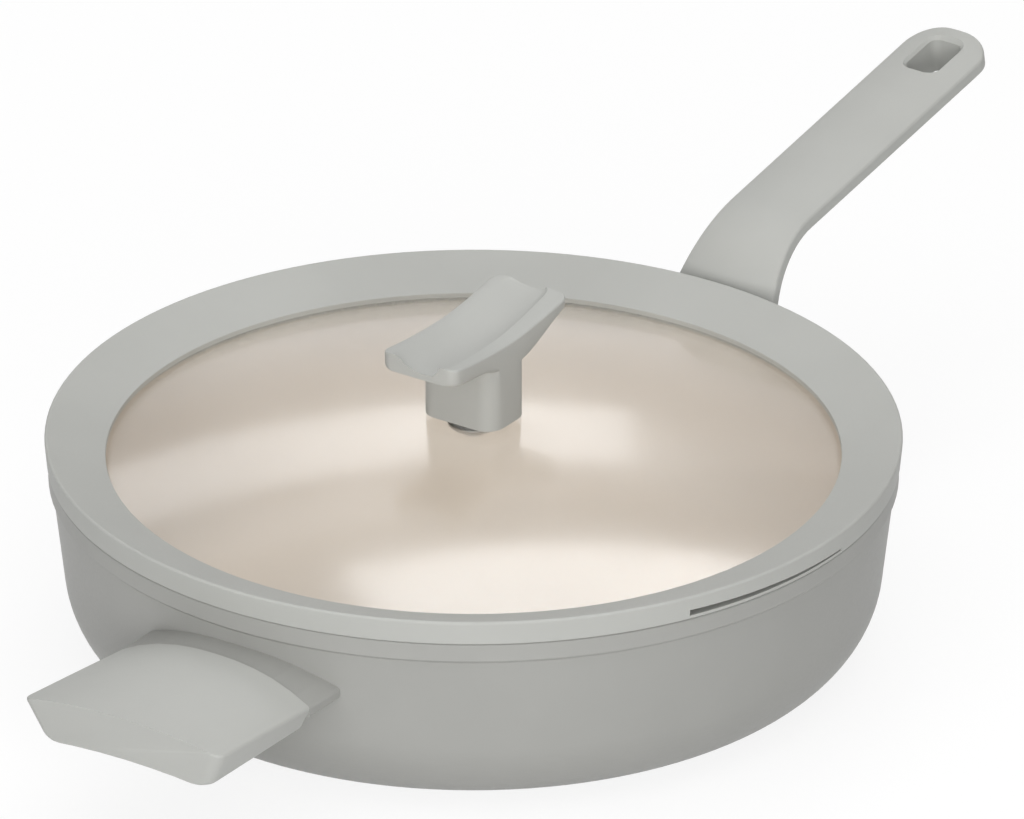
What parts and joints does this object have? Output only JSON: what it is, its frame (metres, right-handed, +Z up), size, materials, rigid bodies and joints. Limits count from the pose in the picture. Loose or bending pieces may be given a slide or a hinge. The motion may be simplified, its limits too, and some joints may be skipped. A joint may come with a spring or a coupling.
{
  "type": "shallow casserole pan",
  "caption": "Shallow round covered pan with a long bent handle, a tab handle opposite, and a lift-off domed glass lid with a soft ring, strainer slots and a spouted knob.",
  "frame": {"origin": "centre of the pan's underside, on the surface that it stands on", "axes": "+Z up, +X along the long handle, -X along the tab handle"},
  "size_m": [0.5145, 0.2962, 0.1224],
  "materials": {
    "outer_coat": "satin grey sprayed coat",
    "cream_coat": "smooth cream ceramic coat, semi-gloss",
    "handle_moulding": "soft-touch matt, heat-resistant moulding",
    "silicone": "matt silicone rubber",
    "seal_silicone": "matt silicone rubber",
    "clear_glass": "clear tempered glass",
    "steel": "brushed stainless steel",
    "bare_aluminium": "cast, uncoated",
    "brass": "turned"
  },
  "bodies": {
    "pan": {"pan_body": "outer_coat", "ceramic_lining": "cream_coat", "induction_plate": "steel", "long_handle": "handle_moulding", "long_handle_tongue": "bare_aluminium", "long_handle_screw": "steel", "tab_handle": "handle_moulding", "tab_saddle": "outer_coat", "tab_tongue": "bare_aluminium", "tab_handle_screws": "steel"},
    "lid": {"lid_glass": "clear_glass", "lid_ring": "silicone", "knob": "handle_moulding", "knob_nut": "brass", "knob_seal": "seal_silicone", "knob_gasket": "seal_silicone", "knob_washer": "steel", "knob_screw": "steel"}
  },
  "joints": [
    {"name": "lid_lift", "type": "slide", "parent": "pan", "child": "lid", "axis": [0, 0, 1], "range_m": [0, 0.1]}
  ]
}
